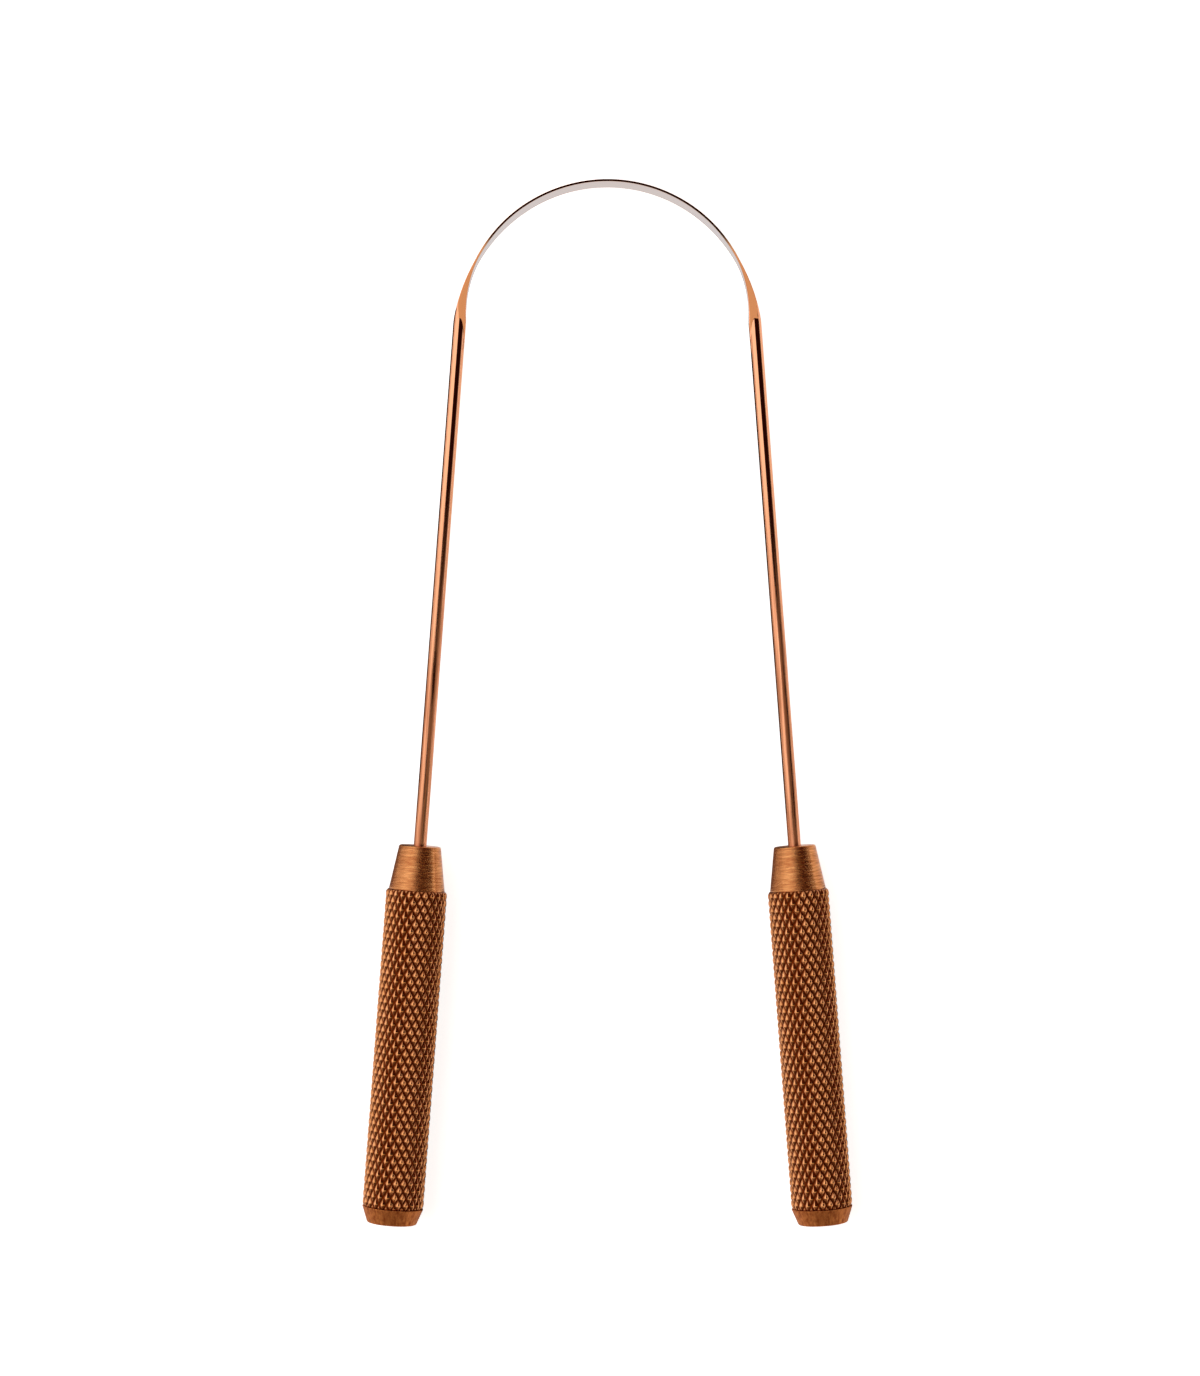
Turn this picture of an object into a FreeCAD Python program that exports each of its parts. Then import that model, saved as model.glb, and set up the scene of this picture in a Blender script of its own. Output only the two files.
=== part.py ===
import FreeCAD, Part
import math
import os

from FreeCAD import Placement, Rotation, Vector

# A tongue scraper: a copper rod bent to a U, forged flat at the bend to make the blade,
# with a ferrule, a knurled grip and an end plug on each arm.
# Millimetres and degrees. +Z up, +Y towards the blade, resting on the two grips at Z = 0.

# Bow: the rod, its bend and the blade forged from it
rod_diameter = 1.7
bow_radius = 19.55          # of the rod's centre line round the bend
arm_splay = 4.33            # degrees that each arm leans outwards
arm_length = 69.7           # bare straight rod, from the bend to the ferrule
blade_thickness = 0.3
blade_width = 6.4
step_turn = 2.0             # degrees round the bend, from round rod to flat-faced bar
thinning_turn = 23.7        # degrees round the bend, until the bar is as thin as the blade
widening_turn = 48.0        # degrees round the bend, until the bar is as wide as the blade
thinning_power = 1.4        # how fast the thickness falls off at first
first_widening_share = 1.0  # how steeply the widening starts, of a straight taper
edge_break_share = 0.25     # bevel along the edges of the forged bar, of its thickness
flare_stations = 9          # spans between the sections from the step to the full blade

# Ferrule: the cone between rod and grip
ferrule_length = 5.9
ferrule_nose_diameter = 5.5
ferrule_base_diameter = 7.4
ferrule_nose_chamfer = 0.2
ferrule_spigot_length = 6.0
tang_overhang = 1.0         # rod end showing past the spigot, inside the grip
rod_end_chamfer = 0.2

# Grip: a knurled tube
grip_length = 42.0
grip_diameter = 8.1         # over the crests of the knurl, rolled on 8 mm bar
grip_bore = 5.0
grip_chamfer = 0.15         # by which the crests at the ferrule's end are turned down
knurl_depth = 0.3
knurl_axial_pitch = 1.9     # crest to crest along the grip, before whole rows are fitted to its length
knurl_count = 23            # crests round the grip

# End plug
plug_length = 2.16
plug_end_diameter = 6.5     # at the end face, before its edge is chamfered
plug_edge_chamfer = 0.2
plug_spigot_length = 5.0

# Fits
spigot_chamfer = 0.3
fit_clearance = 0.02        # all round, between a spigot or tang and its bore
overrun = 1.0               # by which a cutting shape runs past what it cuts

# Worked out from the sizes above
splay = math.radians(arm_splay)
axis_height = grip_diameter / 2
rod_radius = rod_diameter / 2
crest_radius = grip_diameter / 2
root_radius = crest_radius - knurl_depth
spigot_radius = grip_bore / 2 - fit_clearance
tang_length = ferrule_length + ferrule_spigot_length + tang_overhang
plug_end_radius = plug_end_diameter / 2
handle_length = ferrule_length + grip_length + plug_length
row_count = round(2 * grip_length / knurl_axial_pitch)
row_pitch = grip_length / row_count

# The lowest point along Y is on the rim of a plug's end face, which leans with its arm.
end_face_radius = plug_end_radius - plug_edge_chamfer
reach = (arm_length + handle_length) * math.cos(splay) + end_face_radius * math.sin(splay)
bow_top = bow_radius + blade_thickness / 2
bow_centre = Vector(0, (reach - bow_top - bow_radius * math.sin(splay)) / 2, axis_height)

up = Vector(0, 0, 1)
origin = Vector(0, 0, 0)
full_turn = 360
quarter_turn = full_turn / 4


def turned(corners):
    """Solid turned about Z from the (radius, height) corners of its half section."""
    points = [Vector(radius, 0, height) for radius, height in corners]
    outline = Part.makePolygon(points + points[:1])
    return Part.Face(outline).revolve(origin, up, full_turn)


def along_arm(side, distance):
    """Placement on an arm: local Z runs away from the blade, local X points down, side is -1 or 1."""
    outwards = Vector(side * math.sin(splay), -math.cos(splay), 0)
    bend_end = Vector(side * bow_radius * math.cos(splay), bow_radius * math.sin(splay), 0)
    down = Vector(0, 0, -1)
    turn = Rotation(down, outwards.cross(down), outwards, "ZXY")
    return Placement(bow_centre + bend_end + outwards * distance, turn)


def placed(shape, side, distance):
    """A copy of a handle piece or rod, set on one arm."""
    copy = shape.copy()
    copy.Placement = along_arm(side, distance)
    return copy


def bar_thickness(turn):
    """Thickness in the plane of the bow, some degrees round the bend from the end of the arm."""
    left = max(0, 1 - turn / thinning_turn)
    return blade_thickness + (rod_diameter - blade_thickness) * left ** thinning_power


def bar_width(turn):
    """Width across the plane of the bow, some degrees round the bend from the end of the arm."""
    share = min(1, turn / widening_turn)
    eased = share ** 2 * (3 - 2 * share)
    grown = first_widening_share * share * (1 - share) ** 2 + eased
    return rod_diameter + (blade_width - rod_diameter) * grown


def bend_axes(side, turn):
    """Centre of the bar and its outward direction, some degrees round the bend."""
    angle = splay + math.radians(turn)
    outward = Vector(side * math.cos(angle), math.sin(angle), 0)
    return bow_centre + outward * bow_radius, outward


def bar_section(side, turn):
    """Bevelled rectangle across the bar: its four sides and the bevels between them."""
    centre, outward = bend_axes(side, turn)
    thick = bar_thickness(turn) / 2
    wide = bar_width(turn) / 2
    bevel = bar_thickness(turn) * edge_break_share
    quarter = [(thick, wide - bevel), (thick - bevel, wide)]
    half = quarter + [(-out, high) for out, high in quarter[::-1]]
    corners = half + [(-out, -high) for out, high in half]
    points = [centre + outward * out + up * high for out, high in corners]
    return Part.makePolygon(points + points[:1])


def round_section(side):
    """The rod's circle at the end of the arm, in eight arcs that meet the bevels and sides of the bar."""
    centre, outward = bend_axes(side, 0)
    side_turn = 2 * math.degrees(math.asin(1 - 2 * edge_break_share))
    bevel_turn = quarter_turn - side_turn
    edges = []
    start = side_turn / 2
    for turn in (bevel_turn, side_turn) * 4:
        arc = []
        for angle in (start, start + turn / 2, start + turn):
            across = math.cos(math.radians(angle))
            upwards = math.sin(math.radians(angle))
            arc.append(centre + (outward * across + up * upwards) * rod_radius)
        edges.append(Part.Arc(*arc).toShape())
        start += turn
    return Part.Wire(edges)


def scraper_bow():
    """Two round arms and the blade forged between them, as one rod."""
    rod_length = arm_length + tang_length
    rod = turned([
        (0, 0),
        (rod_radius, 0),
        (rod_radius, rod_length - rod_end_chamfer),
        (rod_radius - rod_end_chamfer, rod_length),
        (0, rod_length),
    ])
    span = (widening_turn - step_turn) / flare_stations
    stations = [step_turn + span * index for index in range(flare_stations + 1)]
    pieces = []
    for side in (-1, 1):
        sections = [bar_section(side, turn) for turn in stations]
        pieces.append(Part.makeLoft([round_section(side), sections[0]], True, True))
        pieces.append(Part.makeLoft(sections, True, False))
        pieces.append(placed(rod, side, 0))
    blade_turn = full_turn / 2 - 2 * (arm_splay + widening_turn)
    blade = Part.Face(bar_section(1, widening_turn)).revolve(bow_centre, up, blade_turn)
    return blade.multiFuse(pieces)


def ferrule():
    """Turned cone with a bore for the rod and a spigot for the grip, nose at Z = 0."""
    bore_radius = rod_radius + fit_clearance
    nose_radius = ferrule_nose_diameter / 2
    base_radius = ferrule_base_diameter / 2
    spigot_end = ferrule_length + ferrule_spigot_length
    chamfer_radius = nose_radius + (base_radius - nose_radius) * ferrule_nose_chamfer / ferrule_length
    return turned([
        (bore_radius, 0),
        (nose_radius - ferrule_nose_chamfer, 0),
        (chamfer_radius, ferrule_nose_chamfer),
        (base_radius, ferrule_length),
        (spigot_radius, ferrule_length),
        (spigot_radius, spigot_end - spigot_chamfer),
        (spigot_radius - spigot_chamfer, spigot_end),
        (bore_radius, spigot_end),
    ])


def crest_or_root(row, place):
    """Radius of the knurl at a point of a row: crests and roots take turns, round it and from row to row."""
    if (row + place) % 2 == 1:
        return root_radius
    if row == 0:
        return crest_radius - grip_chamfer
    return crest_radius


def knurled_bar():
    """Bar covered with four-sided pyramids, whose roots join up to two crossing sets of helical grooves."""
    ring = 2 * knurl_count
    rows = []
    for row in range(row_count + 1):
        points = []
        for place in range(ring):
            angle = math.pi * place / knurl_count
            spoke = Vector(math.cos(angle), math.sin(angle), 0)
            points.append(spoke * crest_or_root(row, place) + up * (row * row_pitch))
        rows.append(points)
    outlines = [rows[0][::-1], rows[-1]]
    for row in range(row_count):
        for place in range(ring):
            after = (place + 1) % ring
            near, near_next = rows[row][place], rows[row][after]
            far, far_next = rows[row + 1][place], rows[row + 1][after]
            # each cell is split along the groove, from root to root
            if (row + place) % 2 == 0:
                outlines += [[near, near_next, far], [near_next, far_next, far]]
            else:
                outlines += [[near, near_next, far_next], [near, far_next, far]]
    shell = Part.makeShell([Part.Face(Part.makePolygon(points + points[:1])) for points in outlines])
    shell.sewShape()
    return Part.Solid(shell)


def grip():
    """Knurled tube with its ferrule's end at Z = 0."""
    bore = Part.makeCylinder(grip_bore / 2, grip_length + 2 * overrun, up * -overrun)
    return knurled_bar().cut(bore)


def end_plug():
    """Turned plug: its tapered head runs on from the grip's end at Z = 0, its spigot goes back inside."""
    taper = (crest_radius - plug_end_radius) / plug_length
    return turned([
        (0, -plug_spigot_length),
        (spigot_radius - spigot_chamfer, -plug_spigot_length),
        (spigot_radius, -plug_spigot_length + spigot_chamfer),
        (spigot_radius, 0),
        (crest_radius, 0),
        (plug_end_radius + taper * plug_edge_chamfer, plug_length - plug_edge_chamfer),
        (end_face_radius, plug_length),
        (0, plug_length),
    ])


def main():
    os.makedirs("parts", exist_ok=True)
    nodes = {"scraper_bow": scraper_bow()}
    handle = (
        ("ferrule", ferrule(), arm_length),
        ("grip", grip(), arm_length + ferrule_length),
        ("end_plug", end_plug(), arm_length + ferrule_length + grip_length),
    )
    for side_name, side in (("left", -1), ("right", 1)):
        for name, shape, distance in handle:
            nodes[f"{side_name}_{name}"] = placed(shape, side, distance)
    for name, shape in nodes.items():
        box = shape.BoundBox
        print(f"{name}: {len(shape.Solids)} solid, {shape.Volume:.1f} mm3, "
              f"{box.XLength:.1f} by {box.YLength:.1f} by {box.ZLength:.1f} mm")
        shape.exportStep(f"parts/{name}.step")


main()
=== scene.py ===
"""Copper tongue scraper: its seven pieces, a pale floor, soft studio light and a camera.

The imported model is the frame. Each of its nodes is replaced by a finer surface, worked out with numpy
from the sizes in the panel and dressed in copper. Metres, +Z up, +Y towards the blade.
"""

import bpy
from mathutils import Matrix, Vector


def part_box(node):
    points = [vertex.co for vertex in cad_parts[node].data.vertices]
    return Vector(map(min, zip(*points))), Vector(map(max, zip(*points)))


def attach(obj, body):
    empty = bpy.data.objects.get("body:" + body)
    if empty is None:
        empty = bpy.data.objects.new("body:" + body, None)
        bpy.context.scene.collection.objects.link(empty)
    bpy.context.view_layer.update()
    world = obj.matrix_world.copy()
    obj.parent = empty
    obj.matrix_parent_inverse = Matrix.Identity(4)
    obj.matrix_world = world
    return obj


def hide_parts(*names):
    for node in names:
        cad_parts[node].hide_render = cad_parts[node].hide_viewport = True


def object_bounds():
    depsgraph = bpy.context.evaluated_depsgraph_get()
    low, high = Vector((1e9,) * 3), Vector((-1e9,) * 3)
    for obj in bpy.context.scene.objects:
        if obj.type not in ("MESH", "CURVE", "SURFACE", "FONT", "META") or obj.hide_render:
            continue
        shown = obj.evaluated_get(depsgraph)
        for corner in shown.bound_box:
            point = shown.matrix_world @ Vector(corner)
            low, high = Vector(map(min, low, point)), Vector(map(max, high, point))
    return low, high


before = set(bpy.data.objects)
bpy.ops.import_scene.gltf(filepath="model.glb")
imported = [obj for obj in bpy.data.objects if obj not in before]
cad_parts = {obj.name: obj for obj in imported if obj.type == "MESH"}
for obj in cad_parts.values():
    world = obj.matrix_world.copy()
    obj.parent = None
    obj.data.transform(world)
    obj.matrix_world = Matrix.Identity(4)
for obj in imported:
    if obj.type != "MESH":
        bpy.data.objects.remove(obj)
cad_box = [list(corner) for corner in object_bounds()]

import math

import bpy
import numpy as np
from bpy.props import FloatProperty, FloatVectorProperty, IntProperty, PointerProperty

bl_info = {
    "name": "Copper tongue scraper",
    "version": (1, 0, 0),
    "blender": (4, 5, 0),
    "location": "View3D > Sidebar > Tongue scraper",
    "description": "Builds the bow, ferrules, grips and plugs of a copper tongue scraper, and its stage",
    "category": "Object",
}

MM = 0.001
SIDES = (("left", -1), ("right", 1))
UP = np.array([0.0, 0.0, 1.0])

# the photo's height in pixels, the camera's sensor in millimetres, and how near and far it sees in metres
PHOTO_HEIGHT = 1376
SENSOR = 36.0
NEAREST, FARTHEST = 10 * MM, 10.0

# rows of the bow's mesh: along an arm, where the flat leaves the rod, along the flare and round the blade
ARM_ROWS, FLAT_ROWS, FLARE_ROWS, BLADE_ROWS = 40, 130, 110, 40
FLAT_REACH = 1.5      # of the close rows, to each side of the bend's start, in rod diameters
BLADE_MARGIN = 0.05   # radians past the full width, where the blade's wider rows start
DEEPEST_FLAT = 0.98   # how far the flat may lie sunk in the rod, of the rod's radius
TINY = 1e-9           # instead of 0, where a spoke lies on an axis

LATHE_COLUMNS = 160   # round a ferrule or plug
SIDE_SHARES = np.array([0.03, 0.5, 0.97])   # points on each straight side of a turned profile

# the floor's columns, and its profile in shares of its radius and of its wall's height
FLOOR_COLUMNS = 96
FLOOR_PROFILE = np.array([(0.25, 0), (0.5, 0), (0.97, 0), (0.995, 0.02), (1, 0.1), (1, 1)])

CARD_LIFT = 0.02 * MM   # of the cards above the floor
ARM_CARD_POINTS, BLADE_CARD_POINTS = 13, 61   # along their curved edges

# A wall of light fades in where a direction's share along an axis goes from the first value to the second.
# The edges named _end cut off the left and the right wall.
WALL_EDGES = {
    "left": ((1, -0.2, 0), -0.19, -0.27),
    "left_end": ((0, 1, 0), -0.4, -0.12),
    "right": ((1, 0, 0), 0.86, 0.97),
    "right_end": ((0, 1, 0), 0.22, 0.06),
    "front": ((0, 1, 0), -0.08, -0.16),
    "low_front": ((0, 1, 0), -0.3, -0.5),
    "back": ((0, 1, 0), 0.3, 0.5),
}


def linear(code):
    """Linear red, green and blue of an sRGB hex colour, by the sRGB standard's curve."""
    coded = np.array([int(code[i:i + 2], 16) for i in (1, 3, 5)]) / 255
    return tuple(np.where(coded <= 0.04045, coded / 12.92, ((coded + 0.055) / 1.055) ** 2.4))


def length(name, millimetres, description):
    """A length property, its default given in millimetres."""
    return FloatProperty(name=name, description=description, default=millimetres * MM, precision=5,
                         subtype="DISTANCE")


def angle(name, degrees, description):
    """An angle property, its default given in degrees."""
    return FloatProperty(name=name, description=description, default=math.radians(degrees), subtype="ANGLE")


def share(name, default, description):
    """A property from 0 to 1."""
    return FloatProperty(name=name, description=description, default=default, min=0, max=1,
                         subtype="FACTOR")


def level(name, default, description):
    """How bright a part of the stage is, where 1 is white."""
    return FloatProperty(name=name, description=description, default=default, min=0)


def colour(name, default, description):
    """A colour property, its default an sRGB hex value."""
    return FloatVectorProperty(name=name, description=description, default=linear(default), size=3, min=0,
                               max=1, subtype="COLOR")


class BowSizes(bpy.types.PropertyGroup):
    """Sizes of the rod, its bend and the blade"""
    rod_diameter: length("Rod diameter", 1.7, "Round rod of the arms")
    bend_radius: length("Bend radius", 19.55, "Centre line of the rod round the bend")
    arm_splay: angle("Arm splay", 4.33, "By which each arm leans outwards")
    arm_length: length("Arm length", 69.7, "Bare straight rod, from the bend to the ferrule")
    tang_length: length("Tang length", 12.9, "Rod hidden in the handle")
    blade_thickness: length("Blade thickness", 0.3, "Of the forged blade")
    blade_width: length("Blade width", 6.4, "Of the forged blade")
    flat_start: length("Flat start", 0.16, "Along the bend, where the flat face reaches the rod's middle")
    flat_slope: share("Flat slope", 0.15, "Rise of the flat face out of the rod, per length along it")
    even_run: length("Even run", 1.4, "Along which the mesh changes from spokes to even sides")
    thinning_turn: angle("Thinning turn", 23.7, "Round the bend, until the bar is as thin as the blade")
    widening_turn: angle("Widening turn", 48, "Round the bend, until the bar is as wide as the blade")
    thinning_power: FloatProperty(name="Thinning power", default=1.4,
                                  description="How fast the thickness falls off at first")
    thinning_ease: length("Thinning ease", 0.5, "Before the bend, along which the thinning sets in")
    first_widening: share("First widening", 1.0, "How steeply the widening starts, of a straight taper")
    edge_rounding: share("Edge rounding", 0.1, "Radius along the bar's edges, of its thickness")
    outer_rounding: share("Outer rounding", 0.5, "The same on the outer edges, where the bar starts")
    outer_run: length("Outer run", 2.2, "Along which the outer edges narrow, seen from the front")
    outer_depth_run: length("Outer depth run", 5.5, "Along which their rounding reaches less deep")


class HandleSizes(bpy.types.PropertyGroup):
    """Sizes of ferrules, grips and plugs"""
    ferrule_length: length("Ferrule length", 5.9, "Cone between rod and grip")
    ferrule_nose: length("Ferrule nose", 5.5, "Diameter at the rod's end")
    ferrule_base: length("Ferrule base", 7.4, "Diameter at the grip's end")
    ferrule_spigot: length("Ferrule spigot", 6.0, "Length inside the grip")
    grip_length: length("Grip length", 42.0, "Knurled tube")
    grip_diameter: length("Grip diameter", 8.1, "Over the crests of the knurl")
    grip_bore: length("Grip bore", 5.0, "Diameter of the tube's hole")
    grip_chamfer: length("Grip chamfer", 0.28, "Turned off the tube's ends")
    knurl_depth: length("Knurl depth", 0.3, "From crest to root")
    knurl_flank: share("Knurl flank", 0.7, "Share of each half diamond that slopes, the rest is flat")
    knurl_rounding: share("Knurl rounding", 0.2, "Of the edge between flank and top, of the flank's width")
    knurl_pitch: length("Knurl pitch", 1.894, "Crest to crest along the grip")
    knurl_start: length("Knurl start", 0.6, "A row of crests, from the ferrule's end")
    knurl_count: IntProperty(name="Knurl count", description="Crests round the grip", default=23, min=3)
    left_knurl_turn: angle("Left knurl turn", 5.2, "A crest of that row, from the top towards the right")
    right_knurl_turn: angle("Right knurl turn", 7.1, "A crest of that row, from the top towards the right")
    plug_length: length("Plug length", 2.16, "Head that closes the grip")
    plug_end: length("Plug end", 6.5, "Diameter at the end face")
    plug_spigot: length("Plug spigot", 5.0, "Length inside the grip")
    edge_radius: length("Edge radius", 0.3, "Rounding of the ferrule's nose and the plug's rim")
    fine_edge: length("Fine edge", 0.06, "Rounding of all other turned edges")
    fit_clearance: length("Fit clearance", 0.02, "All round, between a spigot or tang and its bore")


class CopperColours(bpy.types.PropertyGroup):
    """Colours of the copper, from polished to tarnished"""
    bright: colour("Bright copper", "#F9AF85", "Polished copper")
    pale: colour("Pale copper", "#F2BFA0", "Blade, worn bright by use")
    warm: colour("Warm copper", "#E29C62", "Turned copper, browned a little")
    brown: colour("Brown copper", "#A8562A", "Streaks of thin oxide on ferrules and lower arms")
    rubbed: colour("Rubbed copper", "#F6AF7C", "Crests of the knurl, rubbed by hands")
    stained: colour("Stained copper", "#E29352", "Knurl and end plugs, stained by hands")
    tarnished: colour("Tarnished copper", "#98481C", "Dull stains on the end plugs")
    # the knurl's dark copper is partly oxide in its grooves and partly painted shade of those grooves
    dark: colour("Dark copper", "#6C2604", "Oxide left in the grooves of the knurl")


class StageSettings(bpy.types.PropertyGroup):
    """Camera, cards, floor and light"""
    camera_height: length("Camera height", 500, "Above the middle of the object")
    camera_x: length("Camera across", -0.975, "Place of the camera across the arms")
    camera_y: length("Camera along", 2.05, "Place of the camera along the arms")
    photo_scale: FloatProperty(name="Photo scale", default=7.5625,
                               description="Pixels for a millimetre at the object's middle")
    arm_card_reach: length("Arm card reach", 16, "Width of the dark card left of each arm")
    arm_card_shade: colour("Arm card shade", "#1E0A05", "Of that card")
    left_card_turn: angle("Left card turn", 6, "By which the left arm's card follows the bend")
    right_card_turn: angle("Right card turn", 4, "By which the right arm's card follows the bend")
    ferrule_card_reach: length("Ferrule card reach", 14, "Width of the brown card left of each ferrule")
    ferrule_card_lead: length("Ferrule card lead", 4, "By which that card starts before the ferrule")
    ferrule_card_shade: colour("Ferrule card shade", "#8A7264", "Of that card")
    grip_card_reach: length("Grip card reach", 14, "Width of the dark brown card right of each grip")
    grip_card_shade: colour("Grip card shade", "#40301E", "Of that card")
    blade_card_reach: length("Blade card reach", 3, "Width of the pale blue card inside the bow")
    blade_card_shade: colour("Blade card shade", "#D7DFE6", "Of that card")
    floor_radius: length("Floor radius", 2000, "Of the round floor")
    wall_height: length("Wall height", 450, "Of the backdrop round the floor")
    floor_shade: colour("Floor shade", "#F3F3F3", "Of the floor, under its own white")
    floor_white: level("Floor white", 0.85, "Of floor and backdrop to the eye, before the light is added")
    floor_gleam: level("Floor gleam", 0.5, "Of floor and backdrop in the metal, before the light is added")
    left_light: level("Left light", 1.25, "Wall of light on the left, where 1 is white")
    right_light: colour("Right light", "#C8C8C8", "Wall of light on the right")
    front_light: colour("Front light", "#DBCEB2", "Light behind the handles, high up")
    low_front_light: colour("Low front light", "#6E5A4C", "Light behind the handles, low down")
    back_light: colour("Back light", "#6A3218", "Faint light beyond the blade, low down")
    dark: colour("Dark overhead", "#240A03", "Round the camera and above the blade")


class ScraperSettings(bpy.types.PropertyGroup):
    """All that the panel shows"""
    bow: PointerProperty(type=BowSizes, name="Bow", description="Sizes of the bow")
    handle: PointerProperty(type=HandleSizes, name="Handles", description="Sizes of the handles")
    colours: PointerProperty(type=CopperColours, name="Colours", description="Colours of the copper")
    stage: PointerProperty(type=StageSettings, name="Stage", description="Camera, cards, floor and light")


def settings():
    """The values in the panel."""
    return bpy.context.scene.tongue_scraper


def smooth(value):
    """0 below 0, 1 above 1, and 3v^2 - 2v^3 between them."""
    value = np.clip(value, 0, 1)
    return value * value * (3 - 2 * value)


def bow_centre():
    """Centre of the bend: below the top of the CAD bow by the bend's radius and half the blade."""
    bow = settings().bow
    axis_height = sum(corner.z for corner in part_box("left_grip")) / 2
    top = cad_box[1][1]
    return np.array([0, top - bow.bend_radius - bow.blade_thickness / 2, axis_height])


def arm_axes(side):
    """End of the bend on one side, the direction along the arm, and the one across it to the right."""
    bow = settings().bow
    sine, cosine = math.sin(bow.arm_splay), math.cos(bow.arm_splay)
    start = bow_centre() + bow.bend_radius * np.array([side * cosine, sine, 0])
    along = np.array([side * sine, -cosine, 0])
    return start, along, np.cross(UP, along)


def bend_spokes(side, heading):
    """Directions from the centre of the bend, heading measured from the side's own end up to the top."""
    return np.stack([side * np.cos(heading), np.sin(heading), 0 * heading], -1)


def grid_quads(rows, columns, ring=False):
    """Quads over rows of points whose columns wrap round; ring also joins the last row to the first."""
    row = np.arange(rows if ring else rows - 1)[:, None]
    column = np.arange(columns)[None, :]
    after = (column + 1) % columns
    above = (row + 1) % rows * columns
    quads = np.stack([row * columns + column, row * columns + after, above + after, above + column], -1)
    return quads.reshape(-1, 4)


def fan(first, columns, centre):
    """Triangles from a centre point to a ring of points."""
    column = np.arange(columns)
    return np.stack([np.full(columns, centre), first + column, first + (column + 1) % columns], -1)


def add_mesh(name, material, points, faces):
    """A smooth-shaded object from an array of points and arrays of faces."""
    mesh = bpy.data.meshes.new(name)
    mesh.from_pydata(points.tolist(), [], [face for group in faces for face in group.tolist()])
    mesh.shade_smooth()
    mesh.materials.append(material)
    thing = bpy.data.objects.new(name, mesh)
    bpy.context.scene.collection.objects.link(thing)
    return thing


def add_piece(name, node, material, points, faces, attributes):
    """A mesh with attributes on its points, which stands for a node of the frame."""
    piece = add_mesh(name, material, points.reshape(-1, 3), faces)
    for label, values in attributes.items():
        kind, field = ("FLOAT", "value") if values.ndim == 1 else ("FLOAT_VECTOR", "vector")
        layer = piece.data.attributes.new(label, kind, "POINT")
        layer.data.foreach_set(field, values.astype(np.float32).ravel())
    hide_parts(node)
    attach(piece, "root")


def add_node(tree, kind, inputs=None, **options):
    """Adds a node with its options, and sets or links its inputs, given by name or number."""
    node = tree.nodes.new(kind)
    for option, value in options.items():
        setattr(node, option, value)
    for key, value in (inputs or {}).items():
        if isinstance(value, bpy.types.NodeSocket):
            tree.links.new(value, node.inputs[key])
        else:
            node.inputs[key].default_value = value
    return node


def empty_material(name):
    """A material without nodes, and its node tree."""
    material = bpy.data.materials.new(name)
    material.use_nodes = True
    material.node_tree.nodes.clear()
    return material, material.node_tree


def new_metal(name):
    """A metal whose colour and finish are still to come: its material, node tree and shader."""
    material, tree = empty_material(name)
    shader = add_node(tree, "ShaderNodeBsdfPrincipled", {"Metallic": 1.0})
    add_node(tree, "ShaderNodeOutputMaterial", {"Surface": shader.outputs["BSDF"]})
    return material, tree, shader


def opaque(rgb):
    """A colour with an alpha of 1."""
    return (*rgb, 1.0)


def drawn_copper():
    """Copper rod, drawn through a die, forged and polished: a mirror with fine lines along it.

    Near the handles the polish was lighter, so the mirror there is softer and the lines are stronger. The
    blade is worn a little paler.
    """
    colours = settings().colours
    material, tree, shader = new_metal("polished_drawn_copper")
    place = add_node(tree, "ShaderNodeAttribute", attribute_name="rod_mm")
    run = add_node(tree, "ShaderNodeSeparateXYZ", {"Vector": place.outputs["Vector"]})
    far = add_node(tree, "ShaderNodeMath", {0: run.outputs["Z"]}, operation="ABSOLUTE")
    # lines of about 0.25 mm by 12 mm, coarser than real die lines so that they show
    stretched = add_node(tree, "ShaderNodeMapping", {"Vector": place.outputs["Vector"],
                                                     "Scale": (4, 4, 0.08)})
    lines = add_node(tree, "ShaderNodeTexNoise", {"Vector": stretched.outputs["Vector"], "Scale": 1.0,
                                                  "Detail": 3.0})
    # in millimetres from the blade's middle: full polish up to 40, most wear from 80 on
    wear = add_node(tree, "ShaderNodeMapRange", {"Value": far.outputs["Value"], "From Min": 40.0,
                                                 "From Max": 80.0, "To Max": 0.6},
                    interpolation_type="SMOOTHSTEP")
    drawn = add_node(tree, "ShaderNodeMapRange", {"Value": lines.outputs["Fac"], "From Min": 0.3,
                                                  "From Max": 0.65})
    streak = add_node(tree, "ShaderNodeMath", {0: drawn.outputs["Result"], 1: wear.outputs["Result"]},
                      operation="MULTIPLY")
    rough = add_node(tree, "ShaderNodeMapRange", {"Value": streak.outputs["Value"], "From Max": 0.6,
                                                  "To Min": 0.07, "To Max": 0.5})
    # the blade is palest up to 17 mm from its middle, and the flare is bright from 23 mm on
    worn = add_node(tree, "ShaderNodeMapRange", {"Value": far.outputs["Value"], "From Min": 23.0,
                                                 "From Max": 17.0}, interpolation_type="SMOOTHSTEP")
    polish = add_node(tree, "ShaderNodeMix", {0: worn.outputs["Result"], 6: opaque(colours.bright),
                                              7: opaque(colours.pale)}, data_type="RGBA")
    tint = add_node(tree, "ShaderNodeMix", {0: streak.outputs["Value"], 6: polish.outputs[2],
                                            7: opaque(colours.brown)}, data_type="RGBA")
    tree.links.new(tint.outputs[2], shader.inputs["Base Color"])
    tree.links.new(rough.outputs["Result"], shader.inputs["Roughness"])
    bump = add_node(tree, "ShaderNodeBump", {"Height": streak.outputs["Value"], "Strength": 0.12,
                                             "Distance": 0.05 * MM})
    tree.links.new(bump.outputs["Normal"], shader.inputs["Normal"])
    return material


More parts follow.
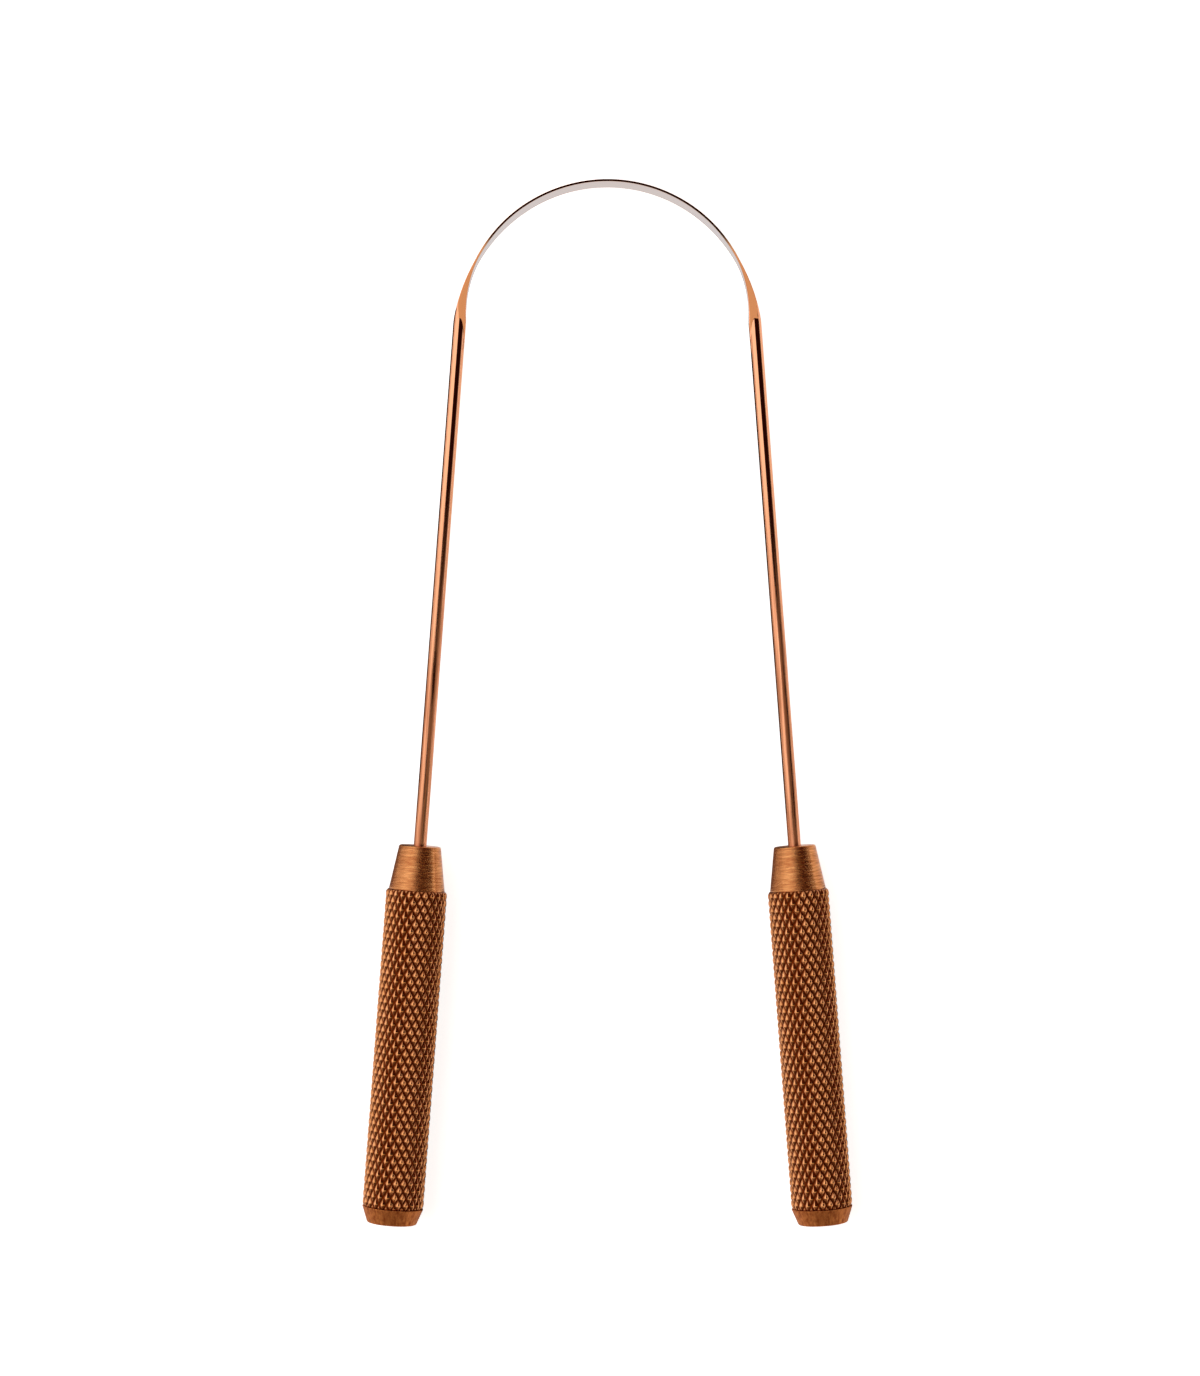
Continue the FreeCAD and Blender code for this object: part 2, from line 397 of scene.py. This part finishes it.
def turned_copper():
    """Copper turned on a lathe: fine tool lines round the piece, which drag highlights along it."""
    colours = settings().colours
    material, tree, shader = new_metal("turned_copper")
    place = add_node(tree, "ShaderNodeAttribute", attribute_name="lathe_mm")
    # lines about 0.22 mm apart and 2.5 mm long, coarser than a real feed of 0.05 mm so that they show
    stretched = add_node(tree, "ShaderNodeMapping", {"Vector": place.outputs["Vector"],
                                                     "Scale": (0.4, 0.4, 4.5)})
    lines = add_node(tree, "ShaderNodeTexNoise", {"Vector": stretched.outputs["Vector"], "Scale": 1.0,
                                                  "Detail": 4.0, "Roughness": 0.65})
    bare = add_node(tree, "ShaderNodeMapRange", {"Value": lines.outputs["Fac"], "From Min": 0.3,
                                                 "From Max": 0.65})
    tint = add_node(tree, "ShaderNodeMix", {0: bare.outputs["Result"], 6: opaque(colours.brown),
                                            7: opaque(colours.warm)}, data_type="RGBA")
    rough = add_node(tree, "ShaderNodeMapRange", {"Value": lines.outputs["Fac"], "To Min": 0.28,
                                                  "To Max": 0.16})
    bump = add_node(tree, "ShaderNodeBump", {"Height": lines.outputs["Fac"], "Strength": 1.0,
                                             "Distance": 0.09 * MM})
    tree.links.new(tint.outputs[2], shader.inputs["Base Color"])
    tree.links.new(rough.outputs["Result"], shader.inputs["Roughness"])
    tree.links.new(bump.outputs["Normal"], shader.inputs["Normal"])
    return material


def knurled_copper():
    """Copper with a rolled diamond knurl: crests rubbed bright by hands, brown oxide in the grooves with
    painted shade that darkens them further.
    """
    colours = settings().colours
    material, tree, shader = new_metal("knurled_copper")
    height = add_node(tree, "ShaderNodeAttribute", attribute_name="knurl_height")
    place = add_node(tree, "ShaderNodeTexCoord")
    # blotches of about 2 mm, where hands have darkened the metal unevenly
    blotch = add_node(tree, "ShaderNodeTexNoise", {"Vector": place.outputs["Object"], "Scale": 1 / (2 * MM),
                                                   "Detail": 2.0})
    # dark copper low in the grooves, rubbed crests on top: the dark is oxide and painted groove shade, and
    # it reaches up the flanks
    rubbed = add_node(tree, "ShaderNodeMapRange", {"Value": height.outputs["Fac"], "From Min": 0.1,
                                                   "From Max": 0.9}, interpolation_type="SMOOTHSTEP")
    crest = add_node(tree, "ShaderNodeMix", {0: blotch.outputs["Fac"], 6: opaque(colours.stained),
                                             7: opaque(colours.rubbed)}, data_type="RGBA")
    tint = add_node(tree, "ShaderNodeMix", {0: rubbed.outputs["Result"], 6: opaque(colours.dark),
                                            7: crest.outputs[2]}, data_type="RGBA")
    rough = add_node(tree, "ShaderNodeMapRange", {"Value": rubbed.outputs["Result"], "To Min": 0.36,
                                                  "To Max": 0.16})
    tree.links.new(tint.outputs[2], shader.inputs["Base Color"])
    tree.links.new(rough.outputs["Result"], shader.inputs["Roughness"])
    return material


def tumbled_copper():
    """Copper turned and tumbled dull: a soft sheen with short scratches along the piece."""
    colours = settings().colours
    material, tree, shader = new_metal("tumbled_copper")
    place = add_node(tree, "ShaderNodeAttribute", attribute_name="lathe_mm")
    # scratches about 0.3 mm wide and 1 mm long
    stretched = add_node(tree, "ShaderNodeMapping", {"Vector": place.outputs["Vector"],
                                                     "Scale": (3.0, 3.0, 1.0)})
    marks = add_node(tree, "ShaderNodeTexNoise", {"Vector": stretched.outputs["Vector"], "Scale": 1.0,
                                                  "Detail": 4.0, "Roughness": 0.6})
    stain = add_node(tree, "ShaderNodeMapRange", {"Value": marks.outputs["Fac"], "From Min": 0.27,
                                                  "From Max": 0.73})
    tint = add_node(tree, "ShaderNodeMix", {0: stain.outputs["Result"], 6: opaque(colours.tarnished),
                                            7: opaque(colours.stained)}, data_type="RGBA")
    bump = add_node(tree, "ShaderNodeBump", {"Height": marks.outputs["Fac"], "Strength": 0.6,
                                             "Distance": 0.08 * MM})
    shader.inputs["Roughness"].default_value = 0.62
    tree.links.new(tint.outputs[2], shader.inputs["Base Color"])
    tree.links.new(bump.outputs["Normal"], shader.inputs["Normal"])
    return material


def bow_runs():
    """Distances along one half of the rod, from its hidden end to the blade's middle.

    They count from the start of the bend. Rows lie closest there, where the flat leaves the rod.
    """
    bow = settings().bow
    whole = bow.arm_length + bow.tang_length
    near = FLAT_REACH * bow.rod_diameter
    full = bow.bend_radius * (bow.widening_turn + BLADE_MARGIN)
    middle = bow.bend_radius * (math.pi / 2 - bow.arm_splay)
    return np.concatenate([
        np.linspace(-whole, -near, ARM_ROWS, endpoint=False),
        np.linspace(-near, near, FLAT_ROWS, endpoint=False),
        np.linspace(near, full, FLARE_ROWS, endpoint=False),
        np.linspace(full, middle, BLADE_ROWS),
    ])


def section_loop(quarter=24, corner=10):
    """One loop of points across the rod, as a circle and as the parts of a rounded rectangle.

    Each quarter has corner steps on the rounded corner and the rest on the two half sides beside it,
    closer together near the corner. Gives the circle's cosine and sine, the share of the straight half
    sides across and up, and the arc's cosine and sine.
    """
    right_angle = math.pi / 2
    half = (quarter - corner) // 2
    step = np.arange(quarter)
    rise = np.clip(step / half, 0, 1)
    fall = np.clip((quarter - step) / half, 0, 1)
    arc = np.clip((step - half) / corner, 0, 1) * right_angle
    across, up = np.sin(fall * right_angle), np.sin(rise * right_angle)
    parts = np.stack([across, up, np.cos(arc), np.sin(arc)])
    turned = np.stack([-parts[1], parts[0], -parts[3], parts[2]])
    loop = np.concatenate([parts, turned, -parts, -turned], axis=1)
    round_angle = np.arange(4 * quarter) * right_angle / quarter
    return np.cos(round_angle), np.sin(round_angle), *loop


def spoke_length(cosine, sine, half_across, half_up, round_across, round_up):
    """Length of a spoke from a rectangle's centre to its side, its top or the elliptic arc at its corner.

    The arc is met where the spoke, with each axis divided by the arc's radius on it, leaves a circle of 1.
    """
    cosine, sine = np.maximum(np.abs(cosine), TINY), np.maximum(np.abs(sine), TINY)
    inner_across, inner_up = half_across - round_across, half_up - round_up
    steep_across, steep_up = cosine / round_across, sine / round_up
    square = steep_across ** 2 + steep_up ** 2
    along = steep_across * inner_across / round_across + steep_up * inner_up / round_up
    beyond = (inner_across / round_across) ** 2 + (inner_up / round_up) ** 2 - 1
    arc = (along + np.sqrt(np.maximum(along ** 2 - square * beyond, 0))) / square
    to_side, to_top = half_across / cosine, half_up / sine
    to_rest = np.where(to_top * cosine <= inner_across, to_top, arc)
    return np.where(to_side * sine <= inner_up, to_side, to_rest)


def bar_sizes(run):
    """Thickness of the forged bar and half its width, at distances along the rod.

    With the turn round the bend from the arm's end, thickness falls as (1 - turn/thinning_turn)^power and
    width grows as first_widening u (1 - u)^2 + 3u^2 - 2u^3 of u = turn/widening_turn. The thinning sets in
    as x - e(1 - exp(-x/e)). Before the bend the bar's flat front lies sunk in the rod, at an even slope.
    """
    bow = settings().bow
    rod = bow.rod_diameter / 2
    eased = np.maximum(run + bow.thinning_ease, 0)
    eased = eased - bow.thinning_ease * (1 - np.exp(-eased / bow.thinning_ease))
    thinned = np.clip(1 - eased / bow.bend_radius / bow.thinning_turn, 0, 1) ** bow.thinning_power
    thickness = bow.blade_thickness + (bow.rod_diameter - bow.blade_thickness) * thinned
    grown = np.clip((run - bow.flat_start) / bow.bend_radius / bow.widening_turn, 0, 1)
    grown = bow.first_widening * grown * (1 - grown) ** 2 + smooth(grown)
    sunk = np.clip((bow.flat_start - run) * bow.flat_slope, 0, DEEPEST_FLAT * rod)
    half_width = rod - sunk + (bow.blade_width / 2 - rod) * grown
    return thickness[:, None], half_width[:, None]


def bow_half(side):
    """Points of one half of the bow, and its coordinates across and along the rod in millimetres.

    The section is a circle on the arm and a rounded rectangle on the bend. Where they meet it is the larger
    of the two along each spoke, so that the flat front rises out of the rod, first at the inner side. The
    outer edges stay round for longer than the inner ones.
    """
    bow = settings().bow
    run = bow_runs()
    start, along, _ = arm_axes(side)
    outward = bend_spokes(side, bow.arm_splay + np.maximum(run, 0) / bow.bend_radius)
    centre = np.where((run < 0)[:, None], start - along * run[:, None],
                      bow_centre() + outward * bow.bend_radius)
    thickness, half_up = bar_sizes(run)
    half_across = thickness / 2
    cosine, sine, flat_across, flat_up, arc_across, arc_up = section_loop()
    fine = bow.edge_rounding * thickness
    outer = [np.interp(run, [0, end], [bow.outer_rounding, bow.edge_rounding])[:, None] * thickness
             for end in (bow.outer_run, bow.outer_depth_run)]
    round_across = np.where(cosine > 0, outer[0], fine)
    round_up = np.minimum(np.where(cosine > 0, outer[1], fine), half_up)
    spoke = spoke_length(cosine, sine, half_across, half_up, round_across, round_up)
    rod_spoke = 1 / np.sqrt((cosine / half_across) ** 2 + (2 * sine / bow.rod_diameter) ** 2)
    spoke = np.maximum(spoke, rod_spoke)
    even = smooth((run - bow.flat_start) / bow.even_run)[:, None]
    even_across = flat_across * (half_across - round_across) + arc_across * round_across
    even_up = flat_up * (half_up - round_up) + arc_up * round_up
    across = spoke * cosine * (1 - even) + even_across * even
    up = spoke * sine * (1 - even) + even_up * even
    points = centre[:, None] + outward[:, None] * across[..., None] + UP * up[..., None]
    distance = np.broadcast_to((run[-1] - run)[:, None] * side, across.shape)
    return points, np.stack([across, up, distance], -1) / MM


def rounded_profile(corners, radii, steps=6):
    """A closed profile of (radius, height) with every corner rounded by an arc that touches both its sides.

    Each arc has steps spans, and each side three more points, two of them close to its ends.
    """
    corners, radii = np.array(corners, float), np.array(radii, float)[:, None]
    leaving = np.roll(corners, -1, 0) - corners
    leaving /= np.linalg.norm(leaving, axis=1, keepdims=True)
    arriving = np.roll(leaving, 1, 0)
    left = np.stack([-arriving[:, 1], arriving[:, 0]], -1)
    turn = np.arctan2((left * leaving).sum(1), (arriving * leaving).sum(1))[:, None]
    spoke = left * radii * np.sign(turn)
    centre = corners - arriving * radii * np.abs(np.tan(turn / 2)) + spoke
    swing = turn * np.linspace(0, 1, steps + 1)
    cosine, sine = np.cos(swing)[..., None], np.sin(swing)[..., None]
    across = np.stack([-spoke[:, 1], spoke[:, 0]], -1)
    arcs = centre[:, None] - spoke[:, None] * cosine - across[:, None] * sine
    begin, end = arcs[:, -1:], np.roll(arcs, -1, 0)[:, :1]
    sides = begin + (end - begin) * SIDE_SHARES[:, None]
    return np.concatenate([arcs, sides], axis=1).reshape(-1, 2)


def on_arm(side, distance, radius, turn, height):
    """Points round an arm's axis: turn from the top towards the right, height away from the blade."""
    start, along, right = arm_axes(side)
    spoke = UP * np.cos(turn)[..., None] + right * np.sin(turn)[..., None]
    return start + along * (distance + height)[..., None] + spoke * radius[..., None]


def lathe_coordinates(radius, turn, height):
    """Coordinates on the piece's own axis, in millimetres."""
    radius, turn, height = np.broadcast_arrays(radius, turn, height)
    return np.stack([radius * np.cos(turn), radius * np.sin(turn), height], -1).reshape(-1, 3) / MM


def full_circle(columns):
    """Angles of the columns round a piece, as one row."""
    return np.arange(columns)[None, :] * 2 * math.pi / columns


def ferrule_profile():
    """Half section of a ferrule: bore, nose, cone, shoulder and spigot, nose at height 0."""
    bow, handle = settings().bow, settings().handle
    bore = bow.rod_diameter / 2 + handle.fit_clearance
    spigot = handle.grip_bore / 2 - handle.fit_clearance
    end = handle.ferrule_length + handle.ferrule_spigot
    fine = handle.fine_edge
    return rounded_profile(
        [(bore, 0), (handle.ferrule_nose / 2, 0), (handle.ferrule_base / 2, handle.ferrule_length),
         (spigot, handle.ferrule_length), (spigot, end), (bore, end)],
        [fine, handle.edge_radius, fine, fine, handle.edge_radius, fine])


def plug_profile():
    """Half section of a plug without its ends on the axis: spigot, shoulder, tapered head and end face."""
    handle = settings().handle
    spigot = handle.grip_bore / 2 - handle.fit_clearance
    crest = handle.grip_diameter / 2
    fine = handle.fine_edge
    corners = [(spigot, -handle.plug_spigot), (spigot, 0), (crest, 0),
               (handle.plug_end / 2, handle.plug_length)]
    axis = [(0, handle.plug_length), (0, -handle.plug_spigot)]
    profile = rounded_profile(corners + axis,
                              [handle.edge_radius, fine, fine, handle.edge_radius, fine, fine])
    return profile.reshape(len(corners) + len(axis), -1, 2)[:len(corners)].reshape(-1, 2)


def knurl_height(turn, height, knurl_turn):
    """Height of the knurl from 0 in the grooves to 1 on the diamonds, and where the first groove is nearer.

    Two crossing sets of grooves run along a = u + w and b = u - w, with u the crests round and w the crests
    along. The lower of the two distances to a groove rises up the flank to 1 and stays there, and the edge
    between flank and top is rounded by the parabola (k - |h - 1|)^2 / 4k.
    """
    handle = settings().handle
    u = (turn - knurl_turn) * handle.knurl_count / (2 * math.pi)
    w = (height - handle.knurl_start) / handle.knurl_pitch
    from_groove = [1 - 2 * np.abs(k - np.round(k)) for k in (u + w, u - w)]
    pyramid = np.minimum(*from_groove) / handle.knurl_flank
    rounding = np.maximum(handle.knurl_rounding - np.abs(pyramid - 1), 0) ** 2 / (4 * handle.knurl_rounding)
    return np.minimum(pyramid, 1) - rounding, from_groove[0] < from_groove[1]


def grip_surface(knurl_turn, samples=12):
    """Radius, turn, height, knurl height and faces of a grip: a closed tube, knurled outside.

    The grid has as many samples to a crest round the grip as along it, so the grooves follow its diagonals
    and each cell is split along its own groove.
    """
    handle = settings().handle
    columns = samples * handle.knurl_count
    turn = full_circle(columns)
    spans = round(samples * handle.grip_length / handle.knurl_pitch)
    height = np.linspace(0, handle.grip_length, spans + 1)[:, None]
    raised, falling = knurl_height(turn, height, knurl_turn)
    crest = handle.grip_diameter / 2
    ends = np.minimum(height, handle.grip_length - height)
    limit = crest - np.maximum(handle.grip_chamfer - ends, 0)
    outer = np.minimum(crest - handle.knurl_depth * (1 - raised), limit)
    # the far end face, the bore and the near end face
    bore = handle.grip_bore / 2
    face = (bore + crest) / 2
    inner = np.array([face, bore, bore, bore, face])[:, None] + 0 * turn
    inner_height = np.array([1, 1, 0.5, 0, 0])[:, None] * handle.grip_length
    radius = np.concatenate([outer, inner])
    heights = np.concatenate([height, inner_height])
    raised = np.concatenate([raised, 0 * inner])
    quads = grid_quads(len(heights), columns, ring=True)[:, ::-1]
    knurled = quads[:spans * columns]
    fall = falling[:-1].ravel()[:, None]
    one = np.where(fall, knurled[:, [0, 1, 2]], knurled[:, [1, 2, 3]])
    other = np.where(fall, knurled[:, [0, 2, 3]], knurled[:, [1, 3, 0]])
    return radius, turn, heights, raised, [one, other, quads[spans * columns:]]


class SCRAPER_OT_bow(bpy.types.Operator):
    """Builds the rod with its forged blade"""
    bl_idname = "scraper.bow"
    bl_label = "Bow"

    def execute(self, context):
        left, left_place = bow_half(-1)
        right, right_place = bow_half(1)
        # the right half runs back from the middle, whose row both halves have, with its pattern turned over
        points = np.concatenate([left, right[-2::-1]])
        place = np.concatenate([left_place, (right_place * (-1, 1, 1))[-2::-1]]).reshape(-1, 3)
        rows, columns = points.shape[:2]
        ends = points[[0, -1]].mean(axis=1)
        last = (rows - 1) * columns
        faces = [grid_quads(rows, columns), fan(0, columns, rows * columns)[:, ::-1],
                 fan(last, columns, rows * columns + 1)]
        points = np.concatenate([points.reshape(-1, 3), ends])
        place = np.concatenate([place, place[[0, last]]])
        add_piece("scraper_bow_forged", "scraper_bow", drawn_copper(), points, faces,
                  {"rod_mm": place})
        return {"FINISHED"}


class SCRAPER_OT_ferrules(bpy.types.Operator):
    """Builds the two turned cones between rod and grip"""
    bl_idname = "scraper.ferrules"
    bl_label = "Ferrules"

    def execute(self, context):
        profile = ferrule_profile()
        turn = full_circle(LATHE_COLUMNS)
        radius, height = profile[:, :1], profile[:, 1:]
        faces = [grid_quads(len(profile), turn.size, ring=True)[:, ::-1]]
        material = turned_copper()
        for name, side in SIDES:
            points = on_arm(side, settings().bow.arm_length, radius, turn, height)
            add_piece(f"{name}_ferrule_turned", f"{name}_ferrule", material,
                      points, faces, {"lathe_mm": lathe_coordinates(radius, turn, height)})
        return {"FINISHED"}


class SCRAPER_OT_grips(bpy.types.Operator):
    """Builds the two knurled tubes"""
    bl_idname = "scraper.grips"
    bl_label = "Grips"

    def execute(self, context):
        handle = settings().handle
        distance = settings().bow.arm_length + handle.ferrule_length
        material = knurled_copper()
        for name, side in SIDES:
            knurl_turn = handle.left_knurl_turn if side < 0 else handle.right_knurl_turn
            radius, turn, height, raised, faces = grip_surface(knurl_turn)
            points = on_arm(side, distance, radius, turn, height)
            add_piece(f"{name}_grip_knurled", f"{name}_grip", material, points,
                      faces, {"knurl_height": raised.ravel()})
        return {"FINISHED"}


class SCRAPER_OT_plugs(bpy.types.Operator):
    """Builds the two plugs that close the grips"""
    bl_idname = "scraper.plugs"
    bl_label = "End plugs"

    def execute(self, context):
        handle = settings().handle
        distance = settings().bow.arm_length + handle.ferrule_length + handle.grip_length
        profile = plug_profile()
        turn = full_circle(LATHE_COLUMNS)
        columns = turn.size
        radius, height = profile[:, :1], profile[:, 1:]
        rows = len(profile)
        faces = [grid_quads(rows, columns)[:, ::-1], fan(0, columns, rows * columns),
                 fan((rows - 1) * columns, columns, rows * columns + 1)[:, ::-1]]
        material = tumbled_copper()
        poles = np.array([-handle.plug_spigot, handle.plug_length])
        for name, side in SIDES:
            points = on_arm(side, distance, radius, turn, height).reshape(-1, 3)
            centres = on_arm(side, distance, 0 * poles, 0 * poles, poles)
            place = np.concatenate([lathe_coordinates(radius, turn, height),
                                    lathe_coordinates(0 * poles, 0 * poles, poles)])
            add_piece(f"{name}_end_plug_turned", f"{name}_end_plug", material,
                      np.concatenate([points, centres]), faces, {"lathe_mm": place})
        return {"FINISHED"}


class SCRAPER_OT_stage(bpy.types.Operator):
    """Sets the pale floor and backdrop, the studio light and the camera"""
    bl_idname = "scraper.stage"
    bl_label = "Stage"

    def execute(self, context):
        scene = context.scene
        scene.view_settings.view_transform = "Standard"
        stage = settings().stage
        self.add_floor(stage)
        self.add_cards(stage)
        self.add_light(scene, stage)
        camera = bpy.data.cameras.new("camera")
        camera.sensor_width = SENSOR
        camera.lens = stage.photo_scale * stage.camera_height / MM * SENSOR / PHOTO_HEIGHT
        camera.clip_start, camera.clip_end = NEAREST, FARTHEST
        view = bpy.data.objects.new("camera", camera)
        view.location = (stage.camera_x, stage.camera_y, bow_centre()[2] + stage.camera_height)
        scene.collection.objects.link(view)
        scene.camera = view
        return {"FINISHED"}

    def add_floor(self, stage):
        """Round floor with a wall round it: radius and height of a profile, turned about Z."""
        turn = full_circle(FLOOR_COLUMNS)
        radius = FLOOR_PROFILE[:, :1] * stage.floor_radius
        height = FLOOR_PROFILE[:, 1:] * stage.wall_height
        rings = np.stack([radius * np.cos(turn), radius * np.sin(turn), height + 0 * turn], -1)
        points = np.concatenate([rings.reshape(-1, 3), np.zeros((1, 3))])
        faces = [grid_quads(len(radius), turn.size)[:, ::-1], fan(0, turn.size, len(points) - 1)]
        material, tree = empty_material("painted_board")
        # matt paint that takes the shadow, with a white of its own for what the eye and the metal see
        ray = add_node(tree, "ShaderNodeLightPath")
        shine = add_node(tree, "ShaderNodeMath", {0: ray.outputs["Is Glossy Ray"],
                                                  1: ray.outputs["Is Transmission Ray"]},
                         operation="MAXIMUM")
        gleam = add_node(tree, "ShaderNodeMath", {0: shine.outputs["Value"], 1: stage.floor_gleam},
                         operation="MULTIPLY")
        white = add_node(tree, "ShaderNodeMath", {0: ray.outputs["Is Camera Ray"], 1: stage.floor_white,
                                                  2: gleam.outputs["Value"]}, operation="MULTIPLY_ADD")
        paint = add_node(tree, "ShaderNodeBsdfDiffuse", {"Color": opaque(stage.floor_shade)})
        glow = add_node(tree, "ShaderNodeEmission", {"Strength": white.outputs["Value"]})
        both = add_node(tree, "ShaderNodeAddShader", {0: paint.outputs["BSDF"],
                                                      1: glow.outputs["Emission"]})
        add_node(tree, "ShaderNodeOutputMaterial", {"Surface": both.outputs["Shader"]})
        floor = add_mesh("floor", material, points, faces)

    def add_cards(self, stage):
        """Cards flat on the floor that only the metal shows, as a photographer sets them.

        A dark one left of each arm and a brown one left of each ferrule draw its left outline. A dark brown
        one right of each grip shades that side, and a pale one in the bow cools the inside of the blade.
        """
        bow, handle = settings().bow, settings().handle
        grip_start = bow.arm_length + handle.ferrule_length
        grip_end = grip_start + handle.grip_length + handle.plug_length
        for name, side in SIDES:
            start, along, right = arm_axes(side)
            turn = stage.left_card_turn if side < 0 else stage.right_card_turn
            heading = bow.arm_splay + np.linspace(turn, 0, ARM_CARD_POINTS)
            bend = bow_centre() + bend_spokes(side, heading) * bow.bend_radius
            ferrule_edge = start + along * (bow.arm_length - stage.ferrule_card_lead)
            near = np.concatenate([bend, [ferrule_edge]])
            self.add_card(f"{name}_arm_card", near - right * stage.arm_card_reach, near,
                          stage.arm_card_shade)
            near = np.stack([ferrule_edge, start + along * grip_start])
            self.add_card(f"{name}_ferrule_card", near - right * stage.ferrule_card_reach, near,
                          stage.ferrule_card_shade)
            near = np.stack([start + along * grip_start, start + along * grip_end])
            self.add_card(f"{name}_grip_card", near, near + right * stage.grip_card_reach,
                          stage.grip_card_shade)
        spoke = bend_spokes(1, np.linspace(math.pi - bow.arm_splay, bow.arm_splay, BLADE_CARD_POINTS))
        inside = bow_centre() + spoke * (bow.bend_radius - stage.blade_card_reach)
        self.add_card("blade_card", inside, bow_centre() + spoke * bow.bend_radius, stage.blade_card_shade)

    def add_card(self, name, left, right, shade):
        """A card between two lines of points, just above the floor, that only shows in reflections."""
        points = np.concatenate([left, right]) * (1, 1, 0) + UP * CARD_LIFT
        step = np.arange(len(left) - 1)
        strips = np.stack([step, step + 1, step + 1 + len(left), step + len(left)], -1)
        material, tree = empty_material(name)
        # the card glows with its shade and lights nothing: a painted patch of reflection, dark or pale,
        # that only the metal shows
        glow = add_node(tree, "ShaderNodeEmission", {"Color": opaque(shade)})
        add_node(tree, "ShaderNodeOutputMaterial", {"Surface": glow.outputs["Emission"]})
        card = add_mesh(name, material, points, [strips])
        for ray in ("camera", "diffuse", "transmission", "volume_scatter", "shadow"):
            setattr(card, f"visible_{ray}", False)

    def add_light(self, scene, stage):
        """Walls of soft light all round: bright on the left, weaker right and in front, dark overhead."""
        world = bpy.data.worlds.new("studio")
        world.use_nodes = True
        tree = world.node_tree
        tree.nodes.clear()
        direction = add_node(tree, "ShaderNodeTexCoord")
        wall = {}
        for name, (axis, begin, end) in WALL_EDGES.items():
            along = add_node(tree, "ShaderNodeVectorMath", {0: direction.outputs["Generated"], 1: axis},
                             operation="DOT_PRODUCT")
            wall[name] = add_node(tree, "ShaderNodeMapRange",
                                  {"Value": along.outputs["Value"], "From Min": begin, "From Max": end},
                                  interpolation_type="SMOOTHSTEP").outputs["Result"]
        for name in ("left", "right"):
            wall[name] = add_node(tree, "ShaderNodeMath", {0: wall[name], 1: wall[f"{name}_end"]},
                                  operation="MULTIPLY").outputs["Value"]
        # each wall covers the ones before it
        glows = {"back": stage.back_light, "front": stage.front_light, "low_front": stage.low_front_light,
                 "right": stage.right_light, "left": (stage.left_light,) * 3}
        light = opaque(stage.dark)
        for name, glow in glows.items():
            light = add_node(tree, "ShaderNodeMix", {0: wall[name], 6: light, 7: opaque(glow)},
                             data_type="RGBA").outputs[2]
        sky = add_node(tree, "ShaderNodeBackground", {"Color": light})
        add_node(tree, "ShaderNodeOutputWorld", {"Surface": sky.outputs["Background"]})
        scene.world = world


class SCRAPER_PT_panel(bpy.types.Panel):
    """Sizes, colours and build buttons of the tongue scraper"""
    bl_idname = "SCRAPER_PT_panel"
    bl_label = "Tongue scraper"
    bl_space_type = "VIEW_3D"
    bl_region_type = "UI"
    bl_category = "Tongue scraper"

    def draw(self, context):
        for operator in OPERATORS:
            self.layout.operator(operator.bl_idname)
        for group in ("bow", "handle", "colours", "stage"):
            box = self.layout.box()
            values = getattr(settings(), group)
            for name in values.__annotations__:
                box.prop(values, name)


OPERATORS = (SCRAPER_OT_stage, SCRAPER_OT_bow, SCRAPER_OT_ferrules, SCRAPER_OT_grips, SCRAPER_OT_plugs)
GROUPS = (BowSizes, HandleSizes, CopperColours, StageSettings, ScraperSettings)


def register():
    for cls in GROUPS + OPERATORS + (SCRAPER_PT_panel,):
        bpy.utils.register_class(cls)
    bpy.types.Scene.tongue_scraper = PointerProperty(type=ScraperSettings)


def unregister():
    del bpy.types.Scene.tongue_scraper
    for cls in reversed(GROUPS + OPERATORS + (SCRAPER_PT_panel,)):
        bpy.utils.unregister_class(cls)


def main():
    register()
    bpy.ops.scraper.stage()
    bpy.ops.scraper.bow()
    bpy.ops.scraper.ferrules()
    bpy.ops.scraper.grips()
    bpy.ops.scraper.plugs()


if __name__ == "__main__":
    main()
